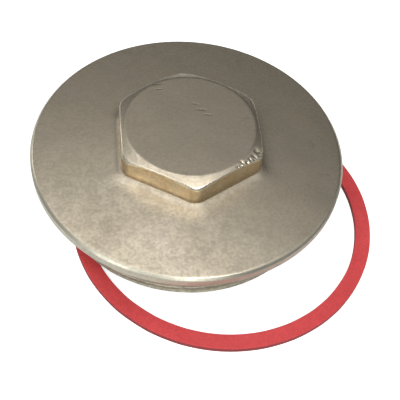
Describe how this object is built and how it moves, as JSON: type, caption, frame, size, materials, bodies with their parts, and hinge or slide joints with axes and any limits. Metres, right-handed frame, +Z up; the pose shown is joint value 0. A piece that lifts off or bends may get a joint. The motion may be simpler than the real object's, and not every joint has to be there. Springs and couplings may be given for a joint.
{
  "type": "threaded brass plug",
  "caption": "Round flanged pipe plug with a low hexagon head and a short hollow threaded spigot, standing on its loose flat red sealing ring.",
  "frame": {"origin": "on the plug's axis, in the plane that the sealing ring rests on", "axes": "+Z up along the plug's axis, from spigot to head; X square to a pair of spanner flats"},
  "size_m": [0.0829, 0.0846, 0.0232],
  "materials": {
    "brass": "satin, tarnished hot stamping with turned rim and thread",
    "red_seal": "matte cut sheet"
  },
  "bodies": {
    "root": {"plug_body": "brass", "sealing_ring": "red_seal"}
  },
  "joints": []
}
